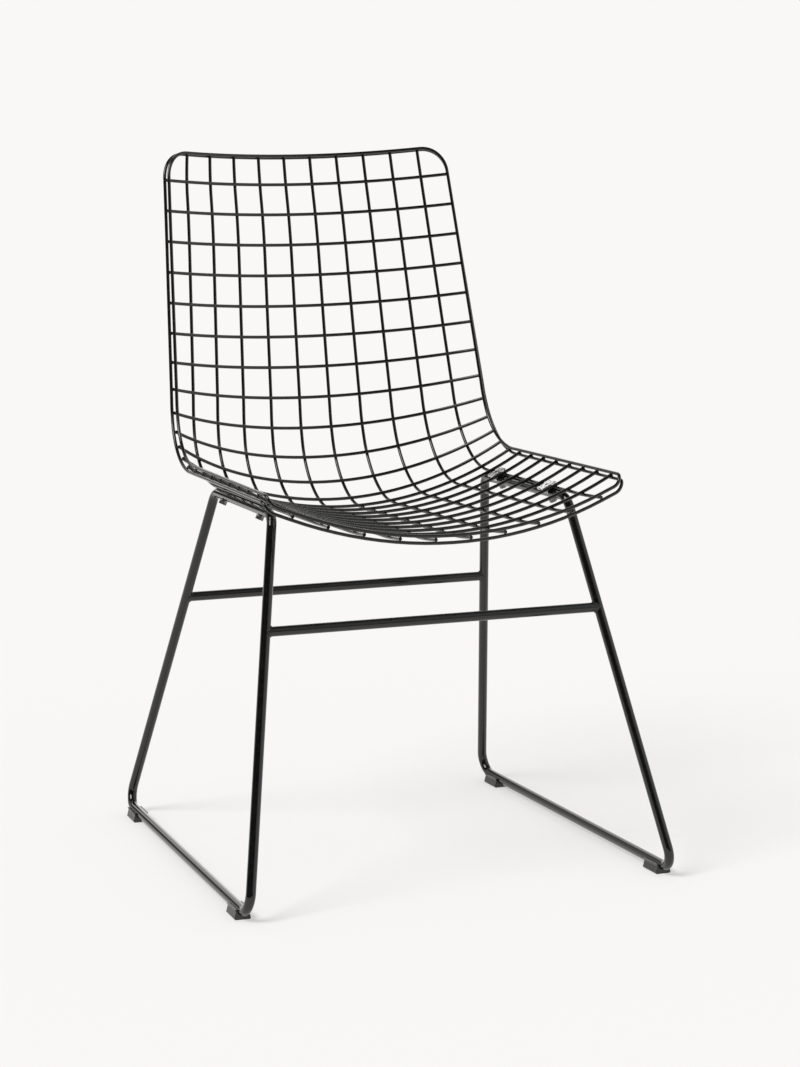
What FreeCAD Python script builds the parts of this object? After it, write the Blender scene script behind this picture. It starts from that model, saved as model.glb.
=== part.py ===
import FreeCAD, Part
import math
import os

os.makedirs("parts", exist_ok=True)

Vector = FreeCAD.Vector

# Wire mesh dining chair. Millimetres, Z up, front of the chair towards -Y.
# The origin lies on the floor under the middle of the outline.

# Thicknesses of wires and rods
cross_wire_d = 4.1
long_wire_d = 4.1
rim_wire_d = 4.1
frame_rod_d = 11.7

# Room left at each weld between two wires or rods
weld_clearance = 0.05

# Turn in radians under which a short piece of wire counts as straight
straight_turn_angle = 0.00005

# Steps for slopes of the surface, in shares of a half row and in rows
share_step = 0.02
row_step = 0.5

# Number of mesh wires
cross_wire_count = 21
long_wire_count = 10

# Distance between neighbouring cross wires, a little less along the seat
mesh_pitch = 39.09
seat_pitch = 37.55
back_wire_count = 15

# From the outermost cross wires to the top and front edges
middle_top_gap = 36.9
side_top_gap = 36.4
middle_front_gap = 47.1

# From the first cross wire down the back to the middle of the seat bend
first_wire_to_bend = 388.06

# Middle line of the shell: corner of its seat bend, and the back and seat that leave it
middle_bend_y = 198.15
middle_bend_z = 400.7
middle_bend_radius = 104.5
back_lean = 10.1
seat_lean = 92.55
back_straight_length = 211.0
top_curve_radius = 751.3

# Height of the cross wires' centre lines above that line
cross_wire_rise = 0.8

# Side edge of the shell: corner of its seat bend ahead of and above the middle line's
side_bend_x = 211.9
side_bend_forward = 58.85
side_bend_rise = 65.8
side_bend_radius = 87.2
side_back_lean = 16.08
side_back_taper_angle = 3.627
side_seat_lean = 91.655
side_seat_flare_angle = 1.615

# The cross wires crowd together on the inside of the side edge's bend
side_bend_lag = 6.3
crowding_length = 47.2
crowding_reach = 122.0

# Front edge of the shell where its line meets the side, from the end of the last cross wire
front_corner_forward = 29.9
front_corner_outward = 8.24
front_corner_drop = 4.1

# Straight lead from the last mesh wire to the bend of the rim at each corner
top_corner_lead = 4.0
front_corner_lead = 20.0

# Place of the outermost lengthwise wires between the middle and the side edge
outer_wire_share = 0.822

# Length of each wire end past the middle of the rim
wire_end_overrun = 1.0

# Leg frames: corner points of the rod's centre line
rear_foot_x = 246.7
rear_foot_y = 251.6
front_foot_x = 266.3
front_foot_y = -295.2
bar_behind_rear_clamp = 45.7
bar_ahead_of_front_clamp = 42.6
top_bend_radius = 18.0
bottom_bend_radius = 20.0
rear_crossbar_z = 297.3
front_crossbar_z = 316.1

# Feet clipped under the runners
sole_thickness = 5.0
foot_length = 34.0
foot_base_width = 20.0
foot_top_width = 16.0
foot_wall_height = 9.0
foot_edge_chamfer = 1.5
foot_lip_height = 3.2
foot_lip_flare = 1.2
foot_clearance = 0.1
foot_grip = 0.6
foot_mouth_flare = 1.6

# Seat clamps and their bolts, each midway between two cross wires
cross_wires_behind_rear_clamp_count = 14
cross_wires_behind_front_clamp_count = 18
clamp_width = 20.0
clamp_length = 16.0
clamp_plate_thickness = 2.5
clamp_lip_depth = 3.0
clamp_lip_width = 3.0
clamp_skirt_height = 2.75
clamp_groove_side_play = 0.2
clamp_seat_clearance = 0.1
rear_bar_to_wire = 4.2
front_bar_to_wire = 2.4
bolt_to_wire = 3.9
bolt_d = 4.0
bolt_hole_play = 0.4
bolt_end_recess = 0.6
bolt_head_across_flats = 8.5
bolt_head_height = 4.0
washer_d = 10.0
washer_thickness = 1.0


def unit(v):
    return v * (1.0 / v.Length)


def mirrored(point):
    return Vector(-point.x, point.y, point.z)


def mirrored_shape(shape):
    return shape.mirror(Vector(0, 0, 0), Vector(1, 0, 0))


# Curves of the shell

def middle_point(place):
    # Place is the length along the line from the middle of the seat bend, positive towards the front
    down = sloping_down(math.radians(back_lean))
    forward = sloping_down(math.radians(seat_lean))
    corner = Vector(0, middle_bend_y, middle_bend_z)
    curve_place = -middle_bend_radius * down.getAngle(forward) / 2 - back_straight_length
    if place >= curve_place:
        return bent_line(corner, down, forward, middle_bend_radius, place)[0]
    curve_start = bent_line(corner, down, forward, middle_bend_radius, curve_place)[0]
    angle = (curve_place - place) / top_curve_radius
    backward = Vector(0, -down.z, down.y)
    return (curve_start - down * (top_curve_radius * math.sin(angle))
            + backward * (top_curve_radius * (1 - math.cos(angle))))


def bent_line(corner, down, forward, radius, place):
    # Point and direction on two straight lines joined by an arc, from the middle of the arc
    turn = down.getAngle(forward)
    tangent_length = radius * math.tan(turn / 2)
    half_arc = radius * turn / 2
    if place <= -half_arc:
        return corner - down * (tangent_length - half_arc - place), down
    if place >= half_arc:
        return corner + forward * (tangent_length - half_arc + place), forward
    angle = (place + half_arc) / radius
    inward = unit(forward - down * forward.dot(down))
    start = corner - down * tangent_length
    point = (start + down * (radius * math.sin(angle)) + inward * (radius * (1 - math.cos(angle))))
    return point, down * math.cos(angle) + inward * math.sin(angle)


def sloping_down(angle):
    # Direction down and forward that leans this far from the vertical
    return Vector(0, -math.sin(angle), -math.cos(angle))


def side_line(place):
    # Point and direction, with the place counted as on the middle line
    back_angle = math.radians(side_back_lean)
    taper = math.radians(side_back_taper_angle)
    seat_angle = math.radians(side_seat_lean)
    flare = math.radians(side_seat_flare_angle)
    down = sloping_down(back_angle) * math.cos(taper) + Vector(math.sin(taper), 0, 0)
    forward = sloping_down(seat_angle) * math.cos(flare) + Vector(math.sin(flare), 0, 0)
    corner = Vector(side_bend_x, middle_bend_y - side_bend_forward, middle_bend_z + side_bend_rise)
    return bent_line(corner, down, forward, side_bend_radius, place)


def row_place_on_middle(row):
    back_rows = min(row, back_wire_count) - 1
    seat_rows = max(row - back_wire_count, 0)
    return mesh_pitch * back_rows + seat_pitch * seat_rows - first_wire_to_bend


def row_place_on_side(row):
    place = row_place_on_middle(row)
    return place - side_bend_lag - crowding_length * math.erf(place / crowding_reach)


def arc_point(middle, end, share):
    # Point on the circular arc through the mirrored end, the middle and the end
    rise = Vector(0, end.y - middle.y, end.z - middle.z)
    sag = rise.Length
    radius = (end.x ** 2 + sag ** 2) / (2 * sag)
    angle = math.asin(end.x / radius) * share
    sideways = Vector(radius * math.sin(angle), 0, 0)
    return middle + sideways + unit(rise) * (radius * (1 - math.cos(angle)))


def contact_row(row):
    # Middle and side end of a row in the surface where the two wire layers touch
    return middle_point(row_place_on_middle(row)), side_line(row_place_on_side(row))[0]


def contact_normal(row, share):
    # Unit normal of that surface, towards the person in the chair
    middle, end = contact_row(row)
    across = arc_point(middle, end, share + share_step) - arc_point(middle, end, share - share_step)
    before = arc_point(*contact_row(row - row_step), share)
    after = arc_point(*contact_row(row + row_step), share)
    return unit(across.cross(after - before)) * -1


def cross_row(row):
    # Middle and side end of a cross wire's centre line
    middle, end = contact_row(row)
    return middle + contact_normal(row, 0) * cross_wire_rise, end


def top_edge_row():
    middle = middle_point(row_place_on_middle(1) - middle_top_gap)
    return middle, side_line(row_place_on_side(1) - side_top_gap)[0]


def front_edge_row():
    middle = middle_point(row_place_on_middle(cross_wire_count) + middle_front_gap)
    end, forward = side_line(row_place_on_side(cross_wire_count))
    corner = end + forward * front_corner_forward
    return middle, corner + Vector(front_corner_outward, 0, -front_corner_drop)


def row_ends(row):
    if row == 0:
        return top_edge_row()
    if row == cross_wire_count + 1:
        return front_edge_row()
    return cross_row(row)


def column_share(column):
    half = (long_wire_count - 1) / 2
    return outer_wire_share * (column - 1 - half) / half


def crossing(row, column):
    return arc_point(*row_ends(row), column_share(column))


def crossing_normal(row, share):
    # Square to the cross wire and to the lengthwise direction at this crossing
    ends = row_ends(row)
    across = arc_point(*ends, share + share_step) - arc_point(*ends, share - share_step)
    before = arc_point(*row_ends(max(row - 1, 0)), share)
    after = arc_point(*row_ends(min(row + 1, cross_wire_count + 1)), share)
    return unit(across.cross(after - before)) * -1


def long_wire_points(column):
    share = column_share(column)
    drop = (cross_wire_d + long_wire_d) / 2 + weld_clearance
    points = [crossing(0, column)]
    for row in range(1, cross_wire_count + 1):
        points.append(crossing(row, column) - crossing_normal(row, share) * drop)
    points.append(crossing(cross_wire_count + 1, column))
    return points


# Paths of straight lines and arcs that meet without a kink

def tangent_arc(start, direction, end):
    chord = end - start
    along = unit(chord)
    sideways = direction - along * direction.dot(along)
    half_turn = math.atan2(sideways.Length, direction.dot(along))
    bulge = unit(sideways) * (chord.Length / 2 * math.tan(half_turn / 2))
    return Part.Arc(start, start + chord * 0.5 + bulge, end).toShape()


def arc_joint(start, start_direction, end, end_direction):
    # Point where two arcs meet that leave the start and reach the end along the given directions
    chord = end - start
    total = start_direction + end_direction
    spread = 2 * (1 - start_direction.dot(end_direction))
    reach = chord.dot(total)
    if spread < 1e-9:
        arm = chord.dot(chord) / (2 * reach)
    else:
        arm = (math.sqrt(reach ** 2 + spread * chord.dot(chord)) - reach) / spread
    return (start + end + (start_direction - end_direction) * arm) * 0.5


def smooth_path(points, directions):
    # Arcs through all points, each leaving along the heading of the one before
    at = points[0]
    heading = directions[0]
    edges = []
    for i in range(1, len(points)):
        joint = arc_joint(at, heading, points[i], directions[i])
        for target in (joint, points[i]):
            chord = target - at
            along = unit(chord)
            if (heading - along * heading.dot(along)).Length < straight_turn_angle:
                target = at + heading * chord.Length
                edges.append(Part.LineSegment(at, target).toShape())
            else:
                edges.append(tangent_arc(at, heading, target))
                heading = along * (2 * along.dot(heading)) - heading
            at = target
    return edges, at, heading


def three_point_direction(before, at, after):
    # Tangent at the middle one of three points on a circle
    first = at - before
    second = after - at
    return unit(first * (second.Length / first.Length) + second * (first.Length / second.Length))


def end_direction(at, near, far):
    # Tangent at the first of three points on a circle
    middle_direction = three_point_direction(at, near, far)
    chord = unit(near - at)
    return unit(chord * (2 * chord.dot(middle_direction)) - middle_direction)


def path_directions(points):
    directions = [end_direction(points[0], points[1], points[2])]
    for i in range(1, len(points) - 1):
        directions.append(three_point_direction(points[i - 1], points[i], points[i + 1]))
    directions.append(end_direction(points[-1], points[-2], points[-3]) * -1)
    return directions


def swept_rod(edges, diameter):
    first = edges[0]
    start = first.valueAt(first.FirstParameter)
    profile = Part.Wire(Part.makeCircle(diameter / 2, start, first.tangentAt(first.FirstParameter)))
    return Part.Wire(edges).makePipeShell([profile], True, False)


def swept_loop(edges, diameter):
    # A closed loop bent from two halves that meet end to end
    half = len(edges) // 2
    loop = swept_rod(edges[:half], diameter).fuse(swept_rod(edges[half:], diameter))
    return loop.removeSplitter()


# Mesh wires

def cross_wire(row):
    middle, end = cross_row(row)
    half_length = (end - middle).Length
    share = 1 + wire_end_overrun / half_length
    right = arc_point(middle, end, share)
    left = mirrored(right)
    return swept_rod([Part.Arc(left, middle, right).toShape()], cross_wire_d)


def long_wire(column):
    points = long_wire_points(column)
    directions = path_directions(points)
    first = points[0] - directions[0] * wire_end_overrun
    edges, last, heading = smooth_path(points, directions)
    edges.insert(0, Part.LineSegment(first, points[0]).toShape())
    edges.append(Part.LineSegment(last, last + heading * wire_end_overrun).toShape())
    return swept_rod(edges, long_wire_d)


# Rim

def rim_side_points(offset):
    points = []
    for row in range(1, cross_wire_count + 1):
        middle, end = cross_row(row)
        points.append(end + crossing_normal(row, 1) * offset)
    return points


def rim_edge_points(row, offset):
    # Three points of the top or front edge: right outermost wire, middle, left outermost wire
    share = column_share(long_wire_count)
    right = crossing(row, long_wire_count) + crossing_normal(row, share) * offset
    middle = arc_point(*row_ends(row), 0) + crossing_normal(row, 0) * offset
    return [right, middle, mirrored(right)]


def rim_wire(offset):
    right_side = rim_side_points(offset)
    front = rim_edge_points(cross_wire_count + 1, offset)
    left_side = [mirrored(p) for p in reversed(right_side)]
    top = list(reversed(rim_edge_points(0, offset)))
    edges = []
    runs = [right_side, front, left_side, top]
    leads = [front_corner_lead, front_corner_lead, top_corner_lead, top_corner_lead]
    run_directions = [path_directions(run) for run in runs]
    for i, run in enumerate(runs):
        following = runs[(i + 1) % len(runs)][0]
        arriving = run_directions[(i + 1) % len(runs)][0]
        if len(run) == 3:
            edges.append(Part.Arc(*run).toShape())
            end = run[-1]
            leaving = run_directions[i][-1]
        else:
            side_edges, end, leaving = smooth_path(run, run_directions[i])
            edges += side_edges
        bend_start = end + leaving * leads[i]
        bend_end = following - arriving * leads[i]
        edges.append(Part.LineSegment(end, bend_start).toShape())
        edges += smooth_path([bend_start, bend_end], [leaving, arriving])[0]
        edges.append(Part.LineSegment(bend_end, following).toShape())
    return swept_loop(edges, rim_wire_d)


# Leg frames, worked out for the right side and mirrored for the left

# Clamps sit midway between two cross wires
clamp_rows = (cross_wires_behind_rear_clamp_count + 0.5, cross_wires_behind_front_clamp_count + 0.5)


def wire_frame(row):
    # Point on the outermost lengthwise wire with its outward, forward and upward directions
    points = long_wire_points(long_wire_count)
    before = points[math.floor(row)]
    after = points[math.ceil(row)]
    forward = unit(after - before)
    share = column_share(long_wire_count)
    normal = crossing_normal(math.floor(row), share) + crossing_normal(math.ceil(row), share)
    outward = unit(normal.cross(forward))
    return (before + after) * 0.5, outward, forward, unit(forward.cross(outward))


def bar_to_wire(row):
    return rear_bar_to_wire if row == clamp_rows[0] else front_bar_to_wire


def bar_drop(row):
    reach = (frame_rod_d + long_wire_d) / 2 + weld_clearance
    return math.sqrt(reach ** 2 - bar_to_wire(row) ** 2)


def bar_point(row):
    # Middle of the top bar under a clamp
    point, outward, forward, upward = wire_frame(row)
    return point - outward * bar_to_wire(row) - upward * bar_drop(row)


def bar_direction():
    rear, front = [bar_point(row) for row in clamp_rows]
    return unit(front - rear)


def clamp_frame(row):
    # Middle of the top bar under a clamp with its outward, forward and upward directions
    forward = bar_direction()
    sideways = wire_frame(row)[1]
    outward = unit(sideways - forward * sideways.dot(forward))
    return bar_point(row), outward, forward, unit(forward.cross(outward))


def bolt_point(row):
    # Point of the bolt's axis level with the middle of the top bar
    bar, outward, forward, upward = clamp_frame(row)
    return bar - outward * (bolt_to_wire - bar_to_wire(row))


def frame_corners():
    runner_z = sole_thickness + frame_rod_d / 2
    return [
        Vector(rear_foot_x, rear_foot_y, runner_z),
        Vector(front_foot_x, front_foot_y, runner_z),
        bar_point(clamp_rows[1]) + bar_direction() * bar_ahead_of_front_clamp,
        bar_point(clamp_rows[0]) - bar_direction() * bar_behind_rear_clamp,
    ]


def corner_tangent_points(before, corner, after, radius):
    back = unit(before - corner)
    on = unit(after - corner)
    turn = math.pi - back.getAngle(on)
    reach = radius * math.tan(turn / 2)
    return corner + back * reach, corner + on * reach


def side_frame():
    corners = frame_corners()
    radii = [bottom_bend_radius, bottom_bend_radius, top_bend_radius, top_bend_radius]
    bends = []
    for i, corner in enumerate(corners):
        bends.append(corner_tangent_points(corners[i - 1], corner, corners[(i + 1) % 4], radii[i]))
    edges = []
    for i, corner in enumerate(corners):
        start, end = bends[i]
        edges.append(tangent_arc(start, unit(corner - start), end))
        edges.append(Part.LineSegment(end, bends[(i + 1) % 4][0]).toShape())
    frame = swept_loop(edges, frame_rod_d)
    for row in clamp_rows:
        frame = frame.cut(bolt_hole(row))
    return frame


def bolt_hole(row):
    upward = clamp_frame(row)[3]
    start = bolt_point(row) - upward * frame_rod_d
    return Part.makeCylinder((bolt_d + bolt_hole_play) / 2, 2 * frame_rod_d, start, upward)


def leg_point(foot, top, z):
    return foot + (top - foot) * ((z - foot.z) / (top.z - foot.z))


def crossbar(foot, top, z):
    end = leg_point(foot, top, z)
    bar = Part.makeCylinder(frame_rod_d / 2, 2 * end.x, mirrored(end), Vector(1, 0, 0))
    leg_radius = frame_rod_d / 2 + weld_clearance
    margin = 3 * frame_rod_d
    low = leg_point(foot, top, z - margin)
    high = leg_point(foot, top, z + margin)
    leg = Part.makeCylinder(leg_radius, (high - low).Length, low, high - low)
    return bar.cut(leg).cut(mirrored_shape(leg))


# Feet

def foot_profile(origin, across):
    # Cross section square to the runner, seen along it
    half_base = foot_base_width / 2
    half_top = foot_top_width / 2
    wall_top = foot_wall_height
    lip_top = foot_wall_height + foot_lip_height
    outline = [
        (-half_base + foot_edge_chamfer, 0),
        (half_base - foot_edge_chamfer, 0),
        (half_base, foot_edge_chamfer),
        (half_top, wall_top),
        (half_top + foot_lip_flare, lip_top),
        (-half_top - foot_lip_flare, lip_top),
        (-half_top, wall_top),
        (-half_base, foot_edge_chamfer),
    ]
    points = [origin + across * x + Vector(0, 0, z) for x, z in outline]
    points.append(points[0])
    return Part.Face(Part.makePolygon(points))


def foot(corner, other_corner, leg_top):
    along = unit(other_corner - corner)
    across = unit(along.cross(Vector(0, 0, 1)))
    bend_end = corner_tangent_points(leg_top, corner, other_corner, bottom_bend_radius)[1]
    origin = Vector(bend_end.x, bend_end.y, 0)
    block = foot_profile(origin, across).extrude(along * foot_length)
    radius = frame_rod_d / 2 + foot_clearance
    cut_start = bend_end - along * foot_length
    cut_length = 3 * foot_length
    rod = Part.makeCylinder(radius, cut_length, cut_start, along)
    half_low = radius - foot_grip
    half_high = radius + foot_mouth_flare
    mouth = Part.Face(Part.makePolygon([
        cut_start - across * half_low,
        cut_start + across * half_low,
        cut_start + across * half_high + Vector(0, 0, frame_rod_d),
        cut_start - across * half_high + Vector(0, 0, frame_rod_d),
        cut_start - across * half_low,
    ])).extrude(along * cut_length)
    return block.cut(rod).cut(mouth)


# Seat clamps

def wire_top(row):
    return bar_drop(row) + long_wire_d / 2 + clamp_seat_clearance


def wire_channel(row):
    # Slot in the clamp for the lengthwise wire, along the wire's own direction
    point, outward, forward, upward = wire_frame(row)
    half_slot = long_wire_d / 2 + clamp_groove_side_play
    ceiling = point + upward * (long_wire_d / 2 + clamp_seat_clearance)
    corner = ceiling - outward * half_slot - forward * clamp_length
    points = [corner, corner + outward * (2 * half_slot)]
    points += [p - upward * (2 * frame_rod_d) for p in reversed(points)]
    points.append(corner)
    return Part.Face(Part.makePolygon(points)).extrude(forward * (2 * clamp_length))


def clamp(row):
    bar, outward, forward, upward = clamp_frame(row)
    under_plate = wire_top(row)
    plate_top = under_plate + clamp_plate_thickness
    half_width = clamp_width / 2
    middle = bar_to_wire(row) - bolt_to_wire
    outer_lip = bar_to_wire(row) + long_wire_d / 2 + clamp_groove_side_play + clamp_lip_width
    inner_lip = -frame_rod_d / 2 - clamp_lip_width / 2
    outline = [
        (middle - half_width, plate_top),
        (middle + half_width, plate_top),
        (middle + half_width, under_plate),
        (outer_lip, under_plate),
        (outer_lip, under_plate - clamp_lip_depth),
        (bar_to_wire(row), under_plate - clamp_lip_depth),
        (bar_to_wire(row), clamp_skirt_height),
        (inner_lip, clamp_skirt_height),
        (inner_lip, under_plate),
        (middle - half_width, under_plate),
    ]
    start = bar - forward * (clamp_length / 2)
    points = [start + outward * x + upward * z for x, z in outline]
    points.append(points[0])
    block = Part.Face(Part.makePolygon(points)).extrude(forward * clamp_length)
    rod_radius = frame_rod_d / 2 + clamp_seat_clearance
    rod = Part.makeCylinder(rod_radius, 3 * clamp_length, bar - forward * (1.5 * clamp_length), forward)
    hole = bolt_hole(row).translated(upward * (frame_rod_d / 2))
    return block.cut(rod).cut(wire_channel(row)).cut(hole)


def bolt(row):
    bar, outward, forward, upward = clamp_frame(row)
    under_head = frame_rod_d / 2 + washer_thickness + 2 * clamp_seat_clearance
    head_top = bolt_point(row) - upward * under_head
    shank_length = under_head + wire_top(row) + clamp_plate_thickness - bolt_end_recess
    shank = Part.makeCylinder(bolt_d / 2, shank_length, head_top, upward)
    corner_reach = bolt_head_across_flats / math.sqrt(3)
    points = []
    for i in range(7):
        angle = math.radians(60 * i)
        spoke = forward * math.cos(angle) + outward * math.sin(angle)
        points.append(head_top + spoke * corner_reach)
    head = Part.Face(Part.makePolygon(points)).extrude(upward * -bolt_head_height)
    return shank.fuse(head).removeSplitter()


def washer(row):
    upward = clamp_frame(row)[3]
    top = bolt_point(row) - upward * (frame_rod_d / 2 + clamp_seat_clearance)
    disc = Part.makeCylinder(washer_d / 2, washer_thickness, top, upward * -1)
    return disc.cut(bolt_hole(row))


def both_sides(shapes):
    return shapes + [mirrored_shape(shape) for shape in shapes]


def save(name, shape):
    shape.exportStep("parts/" + name + ".step")


for row in range(1, cross_wire_count + 1):
    save("cross_wire_%02d" % row, cross_wire(row))

half_count = long_wire_count // 2
for i in range(half_count):
    wire = long_wire(long_wire_count - i)
    save("lengthwise_wire_%02d" % (long_wire_count - i), wire)
    save("lengthwise_wire_%02d" % (i + 1), mirrored_shape(wire))

rim_offset = (max(cross_wire_d, long_wire_d) + rim_wire_d) / 2 + weld_clearance
save("upper_rim_wire", rim_wire(rim_offset))
save("lower_rim_wire", rim_wire(-rim_offset))

right_frame = side_frame()
save("right_side_frame", right_frame)
save("left_side_frame", mirrored_shape(right_frame))

rear_foot_corner, front_foot_corner, front_top_corner, rear_top_corner = frame_corners()
save("rear_crossbar", crossbar(rear_foot_corner, rear_top_corner, rear_crossbar_z))
save("front_crossbar", crossbar(front_foot_corner, front_top_corner, front_crossbar_z))

rear_foot = foot(rear_foot_corner, front_foot_corner, rear_top_corner)
front_foot = foot(front_foot_corner, rear_foot_corner, front_top_corner)
save("right_rear_foot", rear_foot)
save("left_rear_foot", mirrored_shape(rear_foot))
save("right_front_foot", front_foot)
save("left_front_foot", mirrored_shape(front_foot))

rear_clamp, front_clamp = [clamp(row) for row in clamp_rows]
save("right_rear_clamp", rear_clamp)
save("left_rear_clamp", mirrored_shape(rear_clamp))
save("right_front_clamp", front_clamp)
save("left_front_clamp", mirrored_shape(front_clamp))

save("clamp_bolts", Part.makeCompound(both_sides([bolt(row) for row in clamp_rows])))
save("clamp_washers", Part.makeCompound(both_sides([washer(row) for row in clamp_rows])))
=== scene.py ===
import math
import bmesh
import bpy
from mathutils import Matrix, Vector
from mathutils.bvhtree import BVHTree


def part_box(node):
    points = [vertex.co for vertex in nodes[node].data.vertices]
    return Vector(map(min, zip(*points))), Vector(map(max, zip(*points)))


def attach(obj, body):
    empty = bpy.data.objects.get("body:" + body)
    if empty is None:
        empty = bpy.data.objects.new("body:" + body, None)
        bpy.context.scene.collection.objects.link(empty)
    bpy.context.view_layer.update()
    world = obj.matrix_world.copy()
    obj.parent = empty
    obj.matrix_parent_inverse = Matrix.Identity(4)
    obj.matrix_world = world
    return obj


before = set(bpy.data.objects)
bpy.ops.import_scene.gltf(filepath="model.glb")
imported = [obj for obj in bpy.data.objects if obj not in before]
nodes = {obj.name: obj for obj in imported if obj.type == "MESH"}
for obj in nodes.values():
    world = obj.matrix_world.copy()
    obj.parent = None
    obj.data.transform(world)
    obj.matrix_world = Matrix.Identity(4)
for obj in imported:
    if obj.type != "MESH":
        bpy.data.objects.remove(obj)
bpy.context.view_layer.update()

# Wire mesh dining chair: finishes, welds and rounded edges. Metres, Z up, front towards -Y.

MILLIMETRE = 0.001

# Camera, at the photograph's view
CAMERA_PLACE = (-1.37114, -3.60680, 1.04720)
CAMERA_AZIMUTH = -21.241
CAMERA_TILT = 9.706
CAMERA_LENS = 107.80
CAMERA_SENSOR = 36.0
CAMERA_NEAR = 0.05
CAMERA_FAR = 60.0

# Studio: the paper's colour, and the lamp and the sky as shares of the light that falls on the floor
PAPER = (0.956, 0.939, 0.922)
KEY_SHARE = 0.45
SKY_SHARE = 0.55
KEY_DIRECTION = (-0.85, -0.24, 1.0)
KEY_DISTANCE = 4.0
KEY_ANGLE = 26.0

# What the gloss mirrors: a lit backdrop in two parts with a dark gap, a window and the key lamp.
# Each one goes from dark to its full share while the reach along its direction grows.
ROOM_SHARE = 0.06
BACKDROP_DIRECTION = (0.0, 1.0, 0.0)
BACKDROP_FROM = 0.35
BACKDROP_TO = 0.75
GAP_SIDE = (0.970, 0.242, 0.0)
GAP_FROM = 0.02
GAP_TO = 0.11
RIGHT_BACKDROP_SHARE = 1.5
LEFT_BACKDROP_SHARE = 0.6
WINDOW_DIRECTION = (0.88, -0.36, 0.31)
WINDOW_FROM = 0.50
WINDOW_TO = 0.92
WINDOW_SHARE = 0.9
LAMP_FROM = 0.935
LAMP_TO = 0.965
LAMP_SHARE = 9.0

# The floor as the gloss mirrors it: a little brighter than the paper, and darker to one side
PAPER_GAIN = 1.15
FLOOR_DARK_SIDE = (-0.80, -0.60, 0.0)
FLOOR_DARK_FROM = 0.9
FLOOR_DARK_TO = 1.8
FLOOR_DARK_SHARE = 0.70

# The floor's disc: lit paper with a share of even tone near the chair, all even tone far away
FLOOR_RADIUS = 9.0
FLOOR_CORNER_COUNT = 96
FLOOR_EVEN_FROM = 0.85
FLOOR_EVEN_TO = 2.2
FLOOR_EVEN_NEAR = 0.42

# Weld spots of the mesh and the rims
MESH_WELD_RADIUS = 1.25 * MILLIMETRE
MESH_WELD_DEPTH = 0.75 * MILLIMETRE
START_POINT_STRIDE = 3
APPROACH_STEP_COUNT = 24
TOUCHING_GAP = 0.0001 * MILLIMETRE

# Rippled beads round the crossbars' ends
BEAD_RADIUS = 1.1 * MILLIMETRE
BEAD_RIPPLE = 0.16
BEAD_RIPPLE_COUNT = 22
BEAD_RING_COUNT = 132
BEAD_SIDE_COUNT = 10
SADDLE_MARGIN = 0.02 * MILLIMETRE
SADDLE_STEPS_PER_DEGREE = 4

# Rounds on sharp edges, by the ending of the node's name
EDGE_ROUNDS = {
    "_foot": 0.45 * MILLIMETRE,
    "_clamp": 0.35 * MILLIMETRE,
    "clamp_bolts": 0.30 * MILLIMETRE,
    "clamp_washers": 0.12 * MILLIMETRE,
}
SHARP_EDGE_ANGLE = 32.0
ROUND_SEGMENT_COUNT = 3
JOINED_CORNER_GAP = 0.01 * MILLIMETRE

# Colours of the finishes
ENAMEL_DEEP = (0.0020, 0.0020, 0.0019)
ENAMEL_PALE = (0.0050, 0.0049, 0.0047)
ENAMEL_DUST = (0.17, 0.165, 0.155)
PLASTIC_DEEP = (0.005, 0.005, 0.005)
PLASTIC_PALE = (0.011, 0.011, 0.010)
PLASTIC_SCUFF = (0.060, 0.059, 0.057)
STEEL_DULL = (0.42, 0.42, 0.41)
STEEL_BRIGHT = (0.64, 0.64, 0.63)
# Painted reflection: dark blots on the clamps that stand in for the wires mirrored in them
STEEL_PAINTED_REFLECTION = (0.04, 0.04, 0.04)
ZINC_GREY = (0.15, 0.15, 0.15)
ZINC_RUBBED = (0.06, 0.06, 0.06)
ENAMEL_IOR = 1.54
PLASTIC_IOR = 1.60


# Node trees

def emptied_tree(owner):
    owner.use_nodes = True
    for node in list(owner.node_tree.nodes):
        owner.node_tree.nodes.remove(node)
    return owner.node_tree


def position(tree):
    return tree.nodes.new("ShaderNodeTexCoord").outputs["Object"]


def noise(tree, coordinates, scale, detail, roughness=0.5):
    node = tree.nodes.new("ShaderNodeTexNoise")
    node.inputs["Scale"].default_value = scale
    node.inputs["Detail"].default_value = detail
    node.inputs["Roughness"].default_value = roughness
    tree.links.new(coordinates, node.inputs["Vector"])
    return node.outputs["Fac"]


def remap(tree, value, low, high, to_low, to_high):
    node = tree.nodes.new("ShaderNodeMapRange")
    node.interpolation_type = "SMOOTHSTEP"
    node.inputs["From Min"].default_value = low
    node.inputs["From Max"].default_value = high
    node.inputs["To Min"].default_value = to_low
    node.inputs["To Max"].default_value = to_high
    tree.links.new(value, node.inputs["Value"])
    return node.outputs["Result"]


def colour_socket(sockets, name):
    return [s for s in sockets if s.name == name and s.type == "RGBA"][0]


def blend_colour(tree, share, first, second):
    node = tree.nodes.new("ShaderNodeMix")
    node.data_type = "RGBA"
    tree.links.new(share, node.inputs["Factor"])
    for name, colour in (("A", first), ("B", second)):
        socket = colour_socket(node.inputs, name)
        if isinstance(colour, tuple):
            socket.default_value = (*colour, 1.0)
        else:
            tree.links.new(colour, socket)
    return colour_socket(node.outputs, "Result")


def bump(tree, height, distance, strength, before=None):
    node = tree.nodes.new("ShaderNodeBump")
    node.inputs["Distance"].default_value = distance
    node.inputs["Strength"].default_value = strength
    tree.links.new(height, node.inputs["Height"])
    if before is not None:
        tree.links.new(before, node.inputs["Normal"])
    return node.outputs["Normal"]


def calculate(tree, operation, first, second):
    node = tree.nodes.new("ShaderNodeMath")
    node.operation = operation
    for socket, value in zip(node.inputs, (first, second)):
        if isinstance(value, float):
            socket.default_value = value
        else:
            tree.links.new(value, socket)
    return node.outputs["Value"]


# Materials

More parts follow.
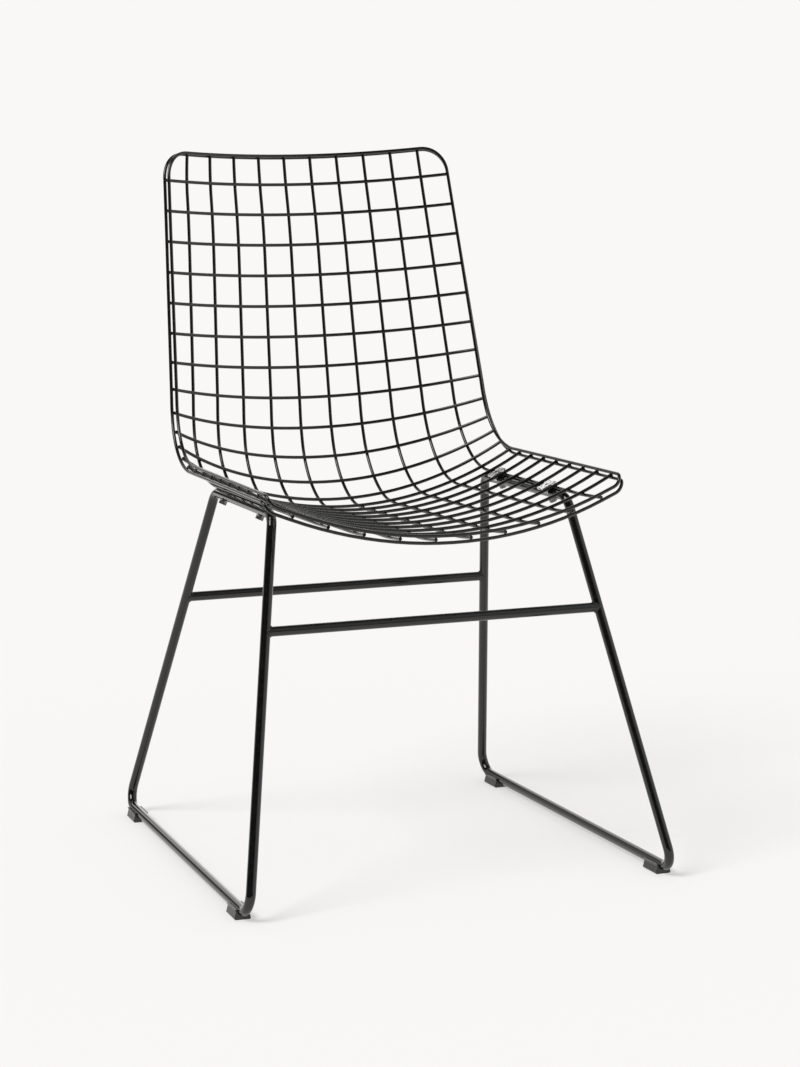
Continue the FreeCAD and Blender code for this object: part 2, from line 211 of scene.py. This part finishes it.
def principled(name):
    made = bpy.data.materials.new(name)
    tree = emptied_tree(made)
    output = tree.nodes.new("ShaderNodeOutputMaterial")
    shader = tree.nodes.new("ShaderNodeBsdfPrincipled")
    tree.links.new(shader.outputs["BSDF"], output.inputs["Surface"])
    return made, tree, shader


def enamel(name, peel_scale, gloss, dust):
    # Glossy black powder coat: fine orange peel, uneven gloss and a little settled dust
    made, tree, shader = principled(name)
    at = position(tree)
    clouds = noise(tree, at, scale=160.0, detail=3.0)
    tone = remap(tree, clouds, low=0.35, high=0.65, to_low=0.0, to_high=1.0)
    black = blend_colour(tree, tone, ENAMEL_DEEP, ENAMEL_PALE)
    grains = noise(tree, at, scale=2600.0, detail=1.0)
    specks = remap(tree, grains, low=0.70, high=0.78, to_low=0.0, to_high=dust)
    colour = blend_colour(tree, specks, black, ENAMEL_DUST)
    tree.links.new(colour, shader.inputs["Base Color"])
    waves = noise(tree, at, scale=90.0, detail=4.0, roughness=0.6)
    uneven = remap(tree, waves, low=0.3, high=0.7, to_low=gloss * 0.8, to_high=gloss * 1.3)
    tree.links.new(uneven, shader.inputs["Roughness"])
    shader.inputs["IOR"].default_value = ENAMEL_IOR
    peel_height = noise(tree, at, scale=peel_scale, detail=1.5)
    peel = bump(tree, peel_height, distance=0.02 * MILLIMETRE, strength=0.4)
    grain_height = noise(tree, at, scale=6000.0, detail=0.0)
    grain = bump(tree, grain_height, distance=0.004 * MILLIMETRE, strength=0.5, before=peel)
    tree.links.new(grain, shader.inputs["Normal"])
    return made


def moulded_plastic(name):
    # Satin black plastic with a fine eroded grain and scuffs
    made, tree, shader = principled(name)
    at = position(tree)
    clouds = noise(tree, at, scale=240.0, detail=3.0)
    tone = remap(tree, clouds, low=0.3, high=0.7, to_low=0.0, to_high=1.0)
    black = blend_colour(tree, tone, PLASTIC_DEEP, PLASTIC_PALE)
    scratches = noise(tree, at, scale=700.0, detail=6.0, roughness=0.7)
    scuffs = remap(tree, scratches, low=0.62, high=0.72, to_low=0.0, to_high=0.30)
    colour = blend_colour(tree, scuffs, black, PLASTIC_SCUFF)
    tree.links.new(colour, shader.inputs["Base Color"])
    waves = noise(tree, at, scale=420.0, detail=4.0)
    rough = remap(tree, waves, low=0.3, high=0.7, to_low=0.28, to_high=0.40)
    tree.links.new(rough, shader.inputs["Roughness"])
    shader.inputs["IOR"].default_value = PLASTIC_IOR
    eroded = noise(tree, at, scale=3800.0, detail=2.0)
    grain = bump(tree, eroded, distance=0.03 * MILLIMETRE, strength=0.7)
    tree.links.new(grain, shader.inputs["Normal"])
    return made


def bright_steel(name):
    # Bright plated steel: a fine drawn grain, faint cloudiness and a few small dark blots painted in as
    # reflections of the wires above
    made, tree, shader = principled(name)
    at = position(tree)
    stretch = tree.nodes.new("ShaderNodeMapping")
    stretch.inputs["Scale"].default_value = (1.0, 0.08, 1.0)
    tree.links.new(at, stretch.inputs["Vector"])
    drawn = noise(tree, stretch.outputs["Vector"], scale=5200.0, detail=3.0, roughness=0.6)
    clouds = noise(tree, at, scale=300.0, detail=3.0)
    tone = remap(tree, clouds, low=0.35, high=0.65, to_low=0.0, to_high=1.0)
    steel = blend_colour(tree, tone, STEEL_DULL, STEEL_BRIGHT)
    # Painted reflection of the wires: small dark blots put into the base colour
    blots = noise(tree, at, scale=460.0, detail=0.0)
    painted_reflections = remap(tree, blots, low=0.55, high=0.58, to_low=0.0, to_high=0.97)
    colour = blend_colour(tree, painted_reflections, steel, STEEL_PAINTED_REFLECTION)
    tree.links.new(colour, shader.inputs["Base Color"])
    shader.inputs["Metallic"].default_value = 1.0
    rough = remap(tree, drawn, low=0.25, high=0.75, to_low=0.06, to_high=0.14)
    tree.links.new(rough, shader.inputs["Roughness"])
    grain = bump(tree, drawn, distance=0.002 * MILLIMETRE, strength=0.4)
    tree.links.new(grain, shader.inputs["Normal"])
    return made


def dull_zinc(name):
    # Dull grey plating of the bolts and washers, with darker rubbed patches
    made, tree, shader = principled(name)
    at = position(tree)
    blots = noise(tree, at, scale=750.0, detail=4.0, roughness=0.6)
    rubbed = remap(tree, blots, low=0.50, high=0.68, to_low=0.0, to_high=0.8)
    colour = blend_colour(tree, rubbed, ZINC_GREY, ZINC_RUBBED)
    tree.links.new(colour, shader.inputs["Base Color"])
    shader.inputs["Metallic"].default_value = 1.0
    waves = noise(tree, at, scale=1300.0, detail=2.0)
    rough = remap(tree, waves, low=0.3, high=0.7, to_low=0.28, to_high=0.46)
    tree.links.new(rough, shader.inputs["Roughness"])
    grain_height = noise(tree, at, scale=2600.0, detail=2.0)
    grain = bump(tree, grain_height, distance=0.02 * MILLIMETRE, strength=0.6)
    tree.links.new(grain, shader.inputs["Normal"])
    return made


wire_enamel = enamel("black_wire_enamel", peel_scale=1500.0, gloss=0.16, dust=0.08)
rim_enamel = enamel("black_rim_enamel", peel_scale=1300.0, gloss=0.15, dust=0.08)
frame_enamel = enamel("black_frame_enamel", peel_scale=900.0, gloss=0.055, dust=0.10)
weld_enamel = enamel("black_weld_enamel", peel_scale=2200.0, gloss=0.22, dust=0.06)
foot_plastic = moulded_plastic("black_foot_plastic")
clamp_steel = bright_steel("bright_clamp_steel")
bolt_steel = dull_zinc("grey_bolt_steel")
washer_steel = dull_zinc("grey_washer_steel")


def finish_of(name):
    if "rim_wire" in name:
        return rim_enamel
    if "_wire_" in name:
        return wire_enamel
    if name.endswith("_foot"):
        return foot_plastic
    if name.endswith("_clamp"):
        return clamp_steel
    if name == "clamp_bolts":
        return bolt_steel
    if name == "clamp_washers":
        return washer_steel
    return frame_enamel


def dress(name, piece):
    if not piece.material_slots:
        piece.data.materials.append(None)
    for slot in piece.material_slots:
        slot.link = "OBJECT"
        slot.material = finish_of(name)


def soften_edges(piece, width):
    # Small rounds on the sharp edges of a moulded or cut piece
    weld = piece.modifiers.new("joined_corners", "WELD")
    weld.merge_threshold = JOINED_CORNER_GAP
    bevel = piece.modifiers.new("rounded_edges", "BEVEL")
    bevel.width = width
    bevel.segments = ROUND_SEGMENT_COUNT
    bevel.limit_method = "ANGLE"
    bevel.angle_limit = math.radians(SHARP_EDGE_ANGLE)
    normals = piece.modifiers.new("even_normals", "WEIGHTED_NORMAL")
    normals.keep_sharp = True


for name, piece in nodes.items():
    dress(name, piece)


# Welds

def surface_tree(piece):
    vertices = [v.co.copy() for v in piece.data.vertices]
    faces = [tuple(p.vertices) for p in piece.data.polygons]
    return BVHTree.FromPolygons(vertices, faces)


def ordered(prefix):
    return [nodes[n] for n in sorted(nodes) if n.startswith(prefix)]


cross_wires = ordered("cross_wire_")
long_wires = ordered("lengthwise_wire_")
rims = [nodes["upper_rim_wire"], nodes["lower_rim_wire"]]
surfaces = {piece.name: surface_tree(piece) for piece in cross_wires + long_wires + rims}


def closest_approach(first, second, start):
    # Points where two wires come nearest, found by going from one to the other and back
    a = first.find_nearest(start)[0]
    b = second.find_nearest(a)[0]
    for _ in range(APPROACH_STEP_COUNT):
        a = first.find_nearest(b)[0]
        b = second.find_nearest(a)[0]
    return a, b


def nearest_point(points, surface):
    return min(points, key=lambda point: surface.find_nearest(point)[3])


def weld_spot(mesh, a, b):
    # Squeezed lens of metal between two wires that touch
    centre = (a + b) * 0.5
    gap = b - a
    up = Vector((0, 0, 1))
    normal = gap.normalized() if gap.length > TOUCHING_GAP else up
    turn = up.rotation_difference(normal).to_matrix().to_4x4()
    size = Matrix.Diagonal((MESH_WELD_RADIUS, MESH_WELD_RADIUS, MESH_WELD_DEPTH, 1.0))
    place = Matrix.Translation(centre) @ turn @ size
    bmesh.ops.create_icosphere(mesh, subdivisions=2, radius=1.0, matrix=place)


def piece_from(mesh, name):
    for face in mesh.faces:
        face.smooth = True
    data = bpy.data.meshes.new(name)
    mesh.to_mesh(data)
    mesh.free()
    data.materials.append(weld_enamel)
    made = bpy.data.objects.new(name, data)
    bpy.context.scene.collection.objects.link(made)
    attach(made, "root")


def add_mesh_welds():
    welds = bmesh.new()
    for long_piece in long_wires:
        long_surface = surfaces[long_piece.name]
        points = [v.co for v in long_piece.data.vertices][::START_POINT_STRIDE]
        for cross_piece in cross_wires:
            cross_surface = surfaces[cross_piece.name]
            start = nearest_point(points, cross_surface)
            weld_spot(welds, *closest_approach(cross_surface, long_surface, start))
    piece_from(welds, "mesh_welds")


def wire_ends(wire, axis):
    points = sorted((v.co.copy() for v in wire.data.vertices), key=lambda point: point[axis])
    return points[0], points[-1]


def add_rim_welds():
    # Cross wires end at their extremes along X, lengthwise wires at those along Y
    welds = bmesh.new()
    for wires, axis in ((cross_wires, 0), (long_wires, 1)):
        for wire in wires:
            for end in wire_ends(wire, axis):
                for rim in rims:
                    weld_spot(welds, *closest_approach(surfaces[wire.name], surfaces[rim.name], end))
    piece_from(welds, "rim_welds")


def crossbar_end_loop(bar, side):
    # Points of the saddle edge where the crossbar meets the leg, in order round the bar
    low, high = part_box(bar.name)
    middle = (low + high) * 0.5
    rod_radius = (high.z - low.z) / 2
    loop = {}
    for vertex in bar.data.vertices:
        offset = vertex.co - middle
        if offset.x * side < 0 or abs(math.hypot(offset.y, offset.z) - rod_radius) > SADDLE_MARGIN:
            continue
        angle = math.degrees(math.atan2(offset.z, offset.y))
        loop[round(angle * SADDLE_STEPS_PER_DEGREE)] = vertex.co.copy()
    return [loop[step] for step in sorted(loop)]


def resampled(loop, count):
    # Points at equal distances along a closed loop
    lengths = [(loop[(i + 1) % len(loop)] - loop[i]).length for i in range(len(loop))]
    step = sum(lengths) / count
    points = []
    i = 0
    walked = 0.0
    for n in range(count):
        target = n * step
        while walked + lengths[i] < target:
            walked += lengths[i]
            i += 1
        share = (target - walked) / lengths[i]
        points.append(loop[i].lerp(loop[(i + 1) % len(loop)], share))
    return points


def bead_ring(mesh, point, outward, across, radius):
    ring = []
    for k in range(BEAD_SIDE_COUNT):
        angle = 2 * math.pi * k / BEAD_SIDE_COUNT
        offset = outward * (radius * math.cos(angle)) + across * (radius * math.sin(angle))
        ring.append(mesh.verts.new(point + offset))
    return ring


def bead(mesh, loop):
    # Rippled weld bead along a closed loop of points
    count = len(loop)
    centre = sum(loop, Vector()) / count
    rings = []
    for i, point in enumerate(loop):
        along = (loop[(i + 1) % count] - loop[i - 1]).normalized()
        outward = point - centre
        outward = (outward - along * outward.dot(along)).normalized()
        ripple = BEAD_RIPPLE * math.sin(2 * math.pi * BEAD_RIPPLE_COUNT * i / count)
        rings.append(bead_ring(mesh, point, outward, along.cross(outward), BEAD_RADIUS * (1.0 + ripple)))
    for i in range(count):
        ring = rings[i]
        following = rings[(i + 1) % count]
        for k in range(BEAD_SIDE_COUNT):
            beside = (k + 1) % BEAD_SIDE_COUNT
            mesh.faces.new((ring[k], ring[beside], following[beside], following[k]))


def add_crossbar_welds():
    beads = bmesh.new()
    for name in ("rear_crossbar", "front_crossbar"):
        for side in (-1, 1):
            bead(beads, resampled(crossbar_end_loop(nodes[name], side), BEAD_RING_COUNT))
    piece_from(beads, "crossbar_welds")


add_mesh_welds()
add_rim_welds()
add_crossbar_welds()

for name, piece in nodes.items():
    for ending, width in EDGE_ROUNDS.items():
        if name.endswith(ending):
            soften_edges(piece, width)


# Studio

def seen_rays(tree, path):
    # One where the ray comes from the camera, a gloss or a clear surface
    total = path["Is Camera Ray"]
    for output in ("Is Glossy Ray", "Is Transmission Ray"):
        add = tree.nodes.new("ShaderNodeMath")
        add.operation = "ADD"
        add.use_clamp = True
        tree.links.new(total, add.inputs[0])
        tree.links.new(path[output], add.inputs[1])
        total = add.outputs["Value"]
    return total


def direction_share(tree, vector, direction, start, end, share):
    # Rises to the share as the vector's reach along the direction goes from start to end
    node = tree.nodes.new("ShaderNodeVectorMath")
    node.operation = "DOT_PRODUCT"
    node.inputs[1].default_value = Vector(direction).normalized()
    tree.links.new(vector, node.inputs[0])
    return remap(tree, node.outputs["Value"], start, end, 0.0, share)


def seen_or_mirrored(tree, mirrored, glossy):
    # One for the camera, and the mirrored brightness where the ray comes from a gloss
    change = calculate(tree, "MULTIPLY", calculate(tree, "SUBTRACT", mirrored, 1.0), glossy)
    return calculate(tree, "ADD", 1.0, change)


def mixed(tree, share, first, second, output):
    mix = tree.nodes.new("ShaderNodeMixShader")
    tree.links.new(share, mix.inputs["Fac"])
    tree.links.new(first, mix.inputs[1])
    tree.links.new(second, mix.inputs[2])
    tree.links.new(mix.outputs["Shader"], output.inputs["Surface"])


def paper_material():
    made = bpy.data.materials.new("studio_paper")
    tree = emptied_tree(made)
    lit = tree.nodes.new("ShaderNodeBsdfDiffuse")
    lit.inputs["Color"].default_value = (*PAPER, 1.0)
    even = tree.nodes.new("ShaderNodeEmission")
    even.inputs["Color"].default_value = (*PAPER, 1.0)
    at = position(tree)
    dark = direction_share(
        tree, at, FLOOR_DARK_SIDE, FLOOR_DARK_FROM, FLOOR_DARK_TO, FLOOR_DARK_SHARE)
    mirrored = calculate(tree, "MULTIPLY", PAPER_GAIN, calculate(tree, "SUBTRACT", 1.0, dark))
    glossy = tree.nodes.new("ShaderNodeLightPath").outputs["Is Glossy Ray"]
    tree.links.new(seen_or_mirrored(tree, mirrored, glossy), even.inputs["Strength"])
    radius = tree.nodes.new("ShaderNodeVectorMath")
    radius.operation = "LENGTH"
    tree.links.new(at, radius.inputs[0])
    share = remap(
        tree, radius.outputs["Value"], FLOOR_EVEN_FROM, FLOOR_EVEN_TO, FLOOR_EVEN_NEAR, 1.0)
    output = tree.nodes.new("ShaderNodeOutputMaterial")
    mixed(tree, share, lit.outputs["BSDF"], even.outputs["Emission"], output)
    return made


def make_floor():
    mesh = bmesh.new()
    bmesh.ops.create_circle(mesh, cap_ends=True, segments=FLOOR_CORNER_COUNT, radius=FLOOR_RADIUS)
    data = bpy.data.meshes.new("floor")
    mesh.to_mesh(data)
    mesh.free()
    data.materials.append(paper_material())
    floor = bpy.data.objects.new("floor", data)
    bpy.context.scene.collection.objects.link(floor)


def mirrored_room(tree):
    towards = tree.nodes.new("ShaderNodeTexCoord").outputs["Generated"]
    behind = direction_share(tree, towards, BACKDROP_DIRECTION, BACKDROP_FROM, BACKDROP_TO, 1.0)
    right = direction_share(tree, towards, GAP_SIDE, GAP_FROM, GAP_TO, RIGHT_BACKDROP_SHARE)
    left_side = tuple(-v for v in GAP_SIDE)
    left = direction_share(tree, towards, left_side, GAP_FROM, GAP_TO, LEFT_BACKDROP_SHARE)
    backdrop = calculate(tree, "MULTIPLY", behind, calculate(tree, "ADD", right, left))
    window = direction_share(tree, towards, WINDOW_DIRECTION, WINDOW_FROM, WINDOW_TO, WINDOW_SHARE)
    lamp = direction_share(tree, towards, KEY_DIRECTION, LAMP_FROM, LAMP_TO, LAMP_SHARE)
    total = ROOM_SHARE
    for light in (backdrop, window, lamp):
        total = calculate(tree, "ADD", total, light)
    return total


def make_world():
    world = bpy.data.worlds.new("studio")
    bpy.context.scene.world = world
    tree = emptied_tree(world)
    seen = tree.nodes.new("ShaderNodeBackground")
    seen.inputs["Color"].default_value = (*PAPER, 1.0)
    sky = tree.nodes.new("ShaderNodeBackground")
    sky.inputs["Color"].default_value = (1.0, 1.0, 1.0, 1.0)
    sky.inputs["Strength"].default_value = SKY_SHARE
    path = tree.nodes.new("ShaderNodeLightPath").outputs
    strength = seen_or_mirrored(tree, mirrored_room(tree), path["Is Glossy Ray"])
    tree.links.new(strength, seen.inputs["Strength"])
    output = tree.nodes.new("ShaderNodeOutputWorld")
    mixed(tree, seen_rays(tree, path), sky.outputs["Background"], seen.outputs["Background"], output)


def make_key_lamp():
    # A distant soft lamp that gives the floor its share of the light
    towards = Vector(KEY_DIRECTION).normalized()
    data = bpy.data.lights.new("key_lamp", "SUN")
    data.angle = math.radians(KEY_ANGLE)
    data.energy = KEY_SHARE * math.pi / towards.z
    lamp = bpy.data.objects.new("key_lamp", data)
    bpy.context.scene.collection.objects.link(lamp)
    lamp.location = towards * KEY_DISTANCE
    lamp.visible_glossy = False
    lamp.rotation_mode = "QUATERNION"
    lamp.rotation_quaternion = towards.to_track_quat("Z", "Y")


def make_camera():
    data = bpy.data.cameras.new("camera")
    data.lens = CAMERA_LENS
    data.sensor_width = CAMERA_SENSOR
    data.sensor_fit = "AUTO"
    data.clip_start = CAMERA_NEAR
    data.clip_end = CAMERA_FAR
    camera = bpy.data.objects.new("camera", data)
    bpy.context.scene.collection.objects.link(camera)
    camera.location = CAMERA_PLACE
    camera.rotation_euler = (math.radians(90.0 - CAMERA_TILT), 0.0, math.radians(CAMERA_AZIMUTH))
    bpy.context.scene.camera = camera


make_floor()
make_world()
make_key_lamp()
make_camera()
bpy.context.scene.view_settings.view_transform = "Standard"
